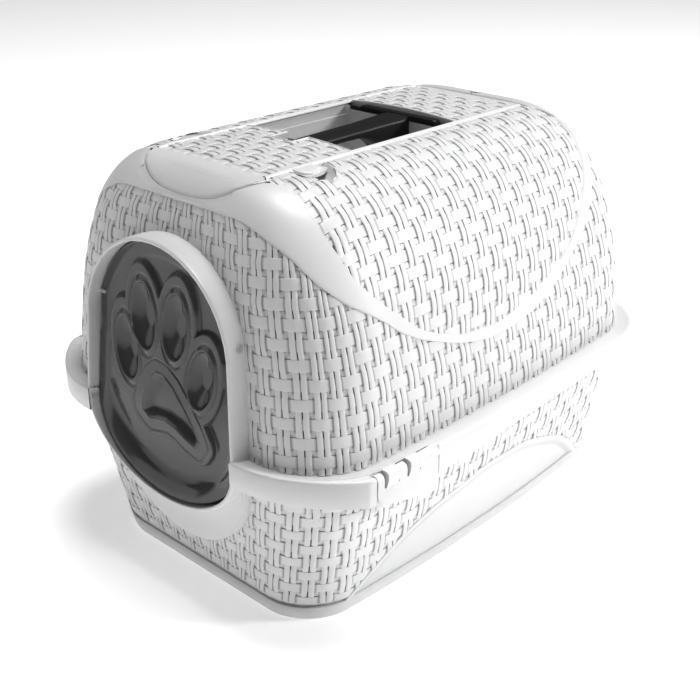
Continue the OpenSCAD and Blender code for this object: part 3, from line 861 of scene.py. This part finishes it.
# finger dishes in the hood and the lid's tabs over them
a = np.linspace(-math.pi / 2 - 0.25, math.pi / 2 + 0.25, 60)
for s, tag in SIDES:
    bowl = []
    for k, d in ((1.06, 0.9), (1.0, 0.6), (0.96, -0.6), (0.85, -4.5), (0.6, -8.5), (0.3, -10.5),
                 (0.0, -11)):
        x = np.maximum(67 + 27.5 * k * np.cos(a), 66.9)
        y = -134.5 + 18 * k * np.sin(a)
        z = np.array([roof_z(q, w) for q, w in zip(x, y)]) + d
        bowl.append(np.column_stack([x, y, z]))
    white(f"hood_dish_{tag}", np.array(bowl), quads(len(bowl), 60, flip=True), "hood", mirror=s,
          angle=50)
    tab = []
    b = np.linspace(-math.pi / 2, math.pi / 2, 40)
    for k, d in ((0, 0.6), (0.5, 0.9), (0.85, 0.9), (0.96, 0.5), (1, -0.2), (1, -1.6), (0.9, -2.2),
                 (0, -2.4)):
        x = 64 + 15.5 * k * np.cos(b)
        y = -138 + 11.5 * (0.3 + 0.7 * k) * np.sin(b)
        tab.append(np.column_stack([x, y, 374.8 - (x - 64) * 0.12 + d]))
    white(f"lid_tab_{tag}", np.array(tab), quads(len(tab), 40, flip=True), "lid", mirror=s, angle=50)

# ---------------------------------------------------------------- clips
PLATE = ((0, 0), (0.3, 5), (0.1, 8.4), (-1.0, 11.2), (-3.0, 12.4), (-5.6, 12.5), (-5.6, 11.0), (-4.4, 10.6),
         (-3.0, 9), (-2.8, 0))
PAD_UP = ((0, 0), (1.5, 5), (2.2, 9.6), (1.6, 13.2), (-1.6, 14.4), (-5.6, 14.4), (-5.6, 11.0), (-4.4, 10.6),
          (-3.0, 9),
          (-2.8, 0))


def clip_x(y):
    return np.interp(y, (-190, -175, -161, -140, -119), (193.6, 195.0, 195.4, 195.4, 195.8))


def prism(profile, ys):
    """A closed bar along Y with a profile in XZ, its end caps as fans."""
    rows = []
    for y in ys:
        rows.append([(clip_x(y) + x, y, 157.4 + z) for x, z in profile])
    v = np.array(rows, float)
    n = len(profile)
    f = quads(len(ys), n, close_c=True)
    tri = np.array([(0, i, i + 1) for i in range(1, n - 1)])
    last = (len(ys) - 1) * n
    return join((v, f), (v, tri[:, ::-1]), (v, tri + last))


def clip_foot():
    """Lower part of the clip, with its sloping lower edge and big front corner."""
    ys = np.r_[-189.9, -189.7, -188.8, -187, -184, -180, -175, np.linspace(-170, -128, 12), -124, -121.5,
               -120.3, -120]
    low = np.interp(ys, (-190, -189.7, -188.8, -187, -184, -180, -175, -125, -122, -120.4, -120),
                    (155, 151, 148, 145.2, 142.8, 141.3, 140.2, 128.6, 129.4, 131.6, 134))
    rows = [[(clip_x(y) - e, y, q) for e, q in ((0, 157.6), (0, (157.6 + z) / 2), (0, z + 1.4),
                                                (0.6, z + 0.3), (1.6, z),
                                               (2.6, z + 0.6), (2.8, z + 2), (2.8, 157.6))] for y,
            z in zip(ys, low)]
    v = np.array(rows, float)
    tri = np.array([(0, i, i + 1) for i in range(1, 7)])
    last = (len(ys) - 1) * 8
    return join((v, quads(len(ys), 8, close_c=True)), (v, tri[:, ::-1]), (v, tri + last))


for s, side in SIDES:
    v, f = join(clip_foot(), prism(PLATE, (-190, -183.2)), prism(PAD_UP, (-181.0, -180.6, -168.6, -168.2)),
                prism(PLATE, (-166.8, -158)), prism(PAD_UP, (-155.8, -155.4, -143.8, -143.4)),
                prism(PLATE, (-142.0, -132, -120.6)))
    white(f"clip_plate_{side}", v, f[:, ::-1], f"clip_{side}", replaces=(f"clip_{side}",), mirror=s,
          angle=40)

# ---------------------------------------------------------------- hand recess and handle
def round_loop(x, y0, y1, r, n=8):
    a = np.linspace(0, math.pi / 2, n)
    out = []
    for k, (cx, cy) in enumerate(((x - r, y1 - r), (-x + r, y1 - r), (-x + r, y0 + r), (x - r, y0 + r))):
        out.append(np.column_stack([cx + r * np.cos(a + k * math.pi / 2),
                                    cy + r * np.sin(a + k * math.pi / 2)]))
    return np.vstack(out)


tub = []
for e, z in ((0.1, 369.0), (0.15, 372.2), (0.3, 372.8), (0.6, 372.6), (0.7, 366), (0.9, 340), (1.6, 330),
             (4.5, 327.4),
             (10, 326.9)):
    q = round_loop(63.6 - e, -77.2 + e, 49.6, 5 if e < 4 else 3)
    tub.append(np.column_stack([q, np.full(len(q), z)]))
build("hand_recess", np.array(tub), quads(len(tub), 32, close_c=True), SHADED_WHITE, "hood", "pale_plastic",
      angle=45)

bar = []
for y, top, low, half in ((-93, 367.4, 363.6, 9.5), (-92.6, 369, 362.6, 11), (-91, 370.4, 362, 12),
                          (-80, 371.2, 362.4, 12.4),
                          (-60, 371.6, 363.4, 12.4), (-40, 371.9, 364, 12.4), (-20, 372.2, 364, 12.4),
                          (-10, 372.4, 363.6, 12.5),
                          (1, 372.6, 360.4, 12.7), (7, 372.8, 357.6, 12.9), (12, 372.9, 355, 13.1),
                          (17, 373, 351.5, 13.3),
                          (24, 373.1, 345, 13.7), (30, 373.2, 337, 14), (35, 373.3, 330, 14.4),
                          (44, 373.5, 327, 15),
                          (52, 373.7, 327, 15.6)):
    a = np.linspace(0, math.pi, 13)
    r = min(4.5, (top - low) / 2.01)
    up = np.column_stack([np.where(np.cos(a) > 0, half - r,
                                   -half + r) * (np.abs(np.cos(a)) > 1e-9) + r * np.cos(a),
                          top - r + r * np.sin(a)])
    k = min(3.0, (top - low) / 2.01)
    down = np.column_stack([np.where(np.cos(a) > 0, -half + k,
                                     half - k) * (np.abs(np.cos(a)) > 1e-9) - k * np.cos(a),
                            low + k - k * np.sin(a)])
    ring = np.vstack([up, down])
    bar.append(np.column_stack([ring[:, 0], np.full(26, float(y)), ring[:, 1]]))
bar = np.array(bar)
tri = np.array([(0, i, i + 1) for i in range(1, 25)])
plate = []
for e, y in ((1.4, 50.0), (0.4, 50.2), (0, 51), (0, 56), (0.6, 57)):
    q = np.array([(46.6 - e, 327.5), (46.6 - e, 371 - e), (45.6 - e, 373.4 - e), (43 - e, 374.6 - e),
                  (-43 + e, 374.6 - e),
                  (-45.6 + e, 373.4 - e), (-46.6 + e, 371 - e), (-46.6 + e, 327.5)])
    plate.append(np.column_stack([q[:, 0], np.full(8, y), q[:, 1]]))
plate = np.array(plate)
cap = np.array([(0, i, i + 1) for i in range(1, 7)])
v, f = join((bar, quads(len(bar), 26, close_c=True)), (bar, tri[:, ::-1]),
            (plate, quads(5, 8, close_c=True, flip=True)),
            (plate, cap), (plate, cap[:, ::-1] + 32))
build("handle_grip", v, f[:, ::-1], BLACK, "hood", "black_plastic", replaces=("carry_handle",), angle=40)

# ---------------------------------------------------------------- flap
SMOKY, nt, bsdf = new_material("smoky_clear")
bsdf.inputs["Base Color"].default_value = (0.22, 0.22, 0.225, 1)
bsdf.inputs["Transmission Weight"].default_value = 0.45
bsdf.inputs["IOR"].default_value = 1.5
bsdf.inputs["Specular IOR Level"].default_value = 1.0
n = noise(nt, 60, 3)
nt.links.new(spread(nt, n.outputs["Fac"], 0.05, 0.12), bsdf.inputs["Roughness"])
add_bump(nt, bsdf, n.outputs["Fac"], 0.05, 0.0003)

TOES = ((-45, 220, 14.5, 27, 10), (-23, 254, 15, 28, 8), (17, 255, 15, 28, -6), (49, 220, 15, 26, -14))
PAD = np.array([(-6, 209), (4, 208), (14, 202), (28, 188), (38, 174), (43, 163), (38, 156), (27, 159),
                (15, 165), (2, 168),
                (-10, 166), (-20, 163), (-27, 168), (-27, 176), (-20, 192), (-13, 203)], float)


def blob(x, z, cx, cz, rx, rz, lean):
    t = math.radians(lean)
    a, b = (x - cx) * math.cos(t) + (z - cz) * math.sin(t), -(x - cx) * math.sin(t) + (z - cz) * math.cos(t)
    k = np.hypot(a / rx, b / rz)
    return (k - 1) * rx * (0.75 + 0.25 / np.maximum(k, 0.4))


def polygon_distance(x, z, poly):
    d, inside = np.full(x.shape, 1e9), np.zeros(x.shape, bool)
    for (x0, z0), (x1, z1) in zip(poly, np.roll(poly, -1, 0)):
        t = np.clip(((x - x0) * (x1 - x0) + (z - z0) * (z1 - z0)) / ((x1 - x0) ** 2 + (z1 - z0) ** 2), 0, 1)
        d = np.minimum(d, np.hypot(x - x0 - t * (x1 - x0), z - z0 - t * (z1 - z0)))
        cross = ((z0 > z) != (z1 > z)) & (x < (x1 - x0) * (z - z0) / (z1 - z0 + 1e-9) + x0)
        inside ^= cross
    return np.where(inside, -d, d)


def flap_relief(x, z):
    toes = [blob(x, z, *t) for t in TOES]
    main = polygon_distance(x, z, PAD)
    near = np.minimum(np.minimum.reduce(toes) - 8.5, main - 17)
    h = 4.4 * smooth(-1.0, 1.0, -near)
    h -= 1.0 * np.exp(-((near + 5.2) / 0.8) ** 2)
    for t in toes:
        h -= 7.5 * np.sqrt(np.clip(-t / 13, 0, 1)) * (t < 0)
        h += 0.8 * np.exp(-((t - 0.8) / 0.7) ** 2)
    h -= 6.5 * smooth(0, 9, -main)
    h += 0.8 * np.exp(-((main - 0.8) / 0.7) ** 2)
    return h


theta = np.linspace(0, 2 * math.pi, 481)[:-1]
a = np.linspace(0, 1, 60)[1:-1, None]
edge = entry_curve(-1.6, 400)
corner = np.array([[86.4, SPRING], [91.2, SEAM]])
edge[:, 1] = np.where(edge[:, 1] < SEAM, SEAM + (edge[:, 1] - SEAM) * 0.97, edge[:, 1])
edge = np.vstack([edge[:400], corner[0] * (-1, 1) * (1 - a) + corner[1] * (-1, 1) * a, edge[400:],
                  corner[1] * (1 - a) + corner[0] * a])
edge[:, 0] = np.clip(edge[:, 0], -84.4 - 8 * smooth(232, 205, edge[:, 1]),
                     84.4 + 8 * smooth(232, 205, edge[:, 1]))
ang = np.unwrap(np.arctan2(edge[:, 1] - 205, edge[:, 0]))
order = np.argsort(ang % (2 * math.pi))
rad = np.interp(theta, (ang % (2 * math.pi))[order], np.hypot(edge[:, 0], edge[:, 1] - 205)[order],
                period=2 * math.pi)
rho = np.r_[np.linspace(0.004, 0.86, 118), 0.875, 0.89, 0.905, 0.93, 0.96, 0.985, 1.0]
X = rad[None] * rho[:, None] * np.cos(theta)[None]
Z = 205 + rad[None] * rho[:, None] * np.sin(theta)[None]
plane = -230.5 + 0.085 * (Z - 258.5)
border = smooth(0.865, 0.9, rho)[:, None]
lower = (1 - smooth(0.8, 1.0, rho)[:, None]) * (1 - smooth(125, 195, Z))
Y = plane - flap_relief(X, Z) * (1 - border) - 1.2 * border + 8 * lower
front = np.stack([X, Y, Z], -1)
backs = np.stack([X, Y + 2.2, Z], -1)
v = np.vstack([front.reshape(-1, 3), backs.reshape(-1, 3)])
nr, nc = X.shape
f = np.vstack([quads(nr, nc, close_c=True), quads(nr, nc, close_c=True, flip=True) + nr * nc])
c = np.arange(nc)
d = (c + 1) % nc
e = (nr - 1) * nc
f = np.vstack([f, np.stack([e + d, e + c, e + c + nr * nc, e + d + nr * nc], -1)])
build("flap_pane", v, f[:, ::-1], SMOKY, "flap", "smoky_clear", replaces=("entry_flap",), angle=0)

# ---------------------------------------------------------------- light, floor
floor_mesh = bpy.data.meshes.new("floor")
floor_mesh.from_pydata([(-30, -30, 0), (30, -30, 0), (30, 30, 0), (-30, 30, 0)], [], [(0, 1, 2, 3)])
floor = bpy.data.objects.new("floor", floor_mesh)
bpy.context.scene.collection.objects.link(floor)
fm, _, fb = new_material("floor")
fb.inputs["Base Color"].default_value = (0.9, 0.9, 0.9, 1)
fb.inputs["Roughness"].default_value = 0.9
fb.inputs["Emission Color"].default_value = (1, 1, 1, 1)
fb.inputs["Emission Strength"].default_value = 0.44
floor_mesh.materials.append(fm)
world = bpy.data.worlds.new("studio")
bpy.context.scene.world = world
world.use_nodes = True
world.node_tree.nodes["Background"].inputs["Color"].default_value = (1, 1, 1, 1)
world.node_tree.nodes["Background"].inputs["Strength"].default_value = 0.17
bpy.context.scene.view_settings.view_transform = "Standard"
bpy.context.scene.view_settings.gamma = 0.72


def area(name, place, target, size, power):
    d = bpy.data.lights.new(name, "AREA")
    d.shape, d.size, d.energy = "DISK", size, power
    o = bpy.data.objects.new(name, d)
    bpy.context.scene.collection.objects.link(o)
    o.location = place
    o.rotation_mode = "QUATERNION"
    o.rotation_quaternion = (Vector(target) - Vector(place)).to_track_quat("-Z", "Y")


area("key", (2.5, 1.8, 1.5), (0, 0, 0.2), 0.6, 55)
area("top", (0.3, 0.4, 4.2), (0, 0, 0.3), 2.0, 128)
area("front", (-2.2, -2.4, 0.9), (0, 0, 0.2), 1.9, 8)
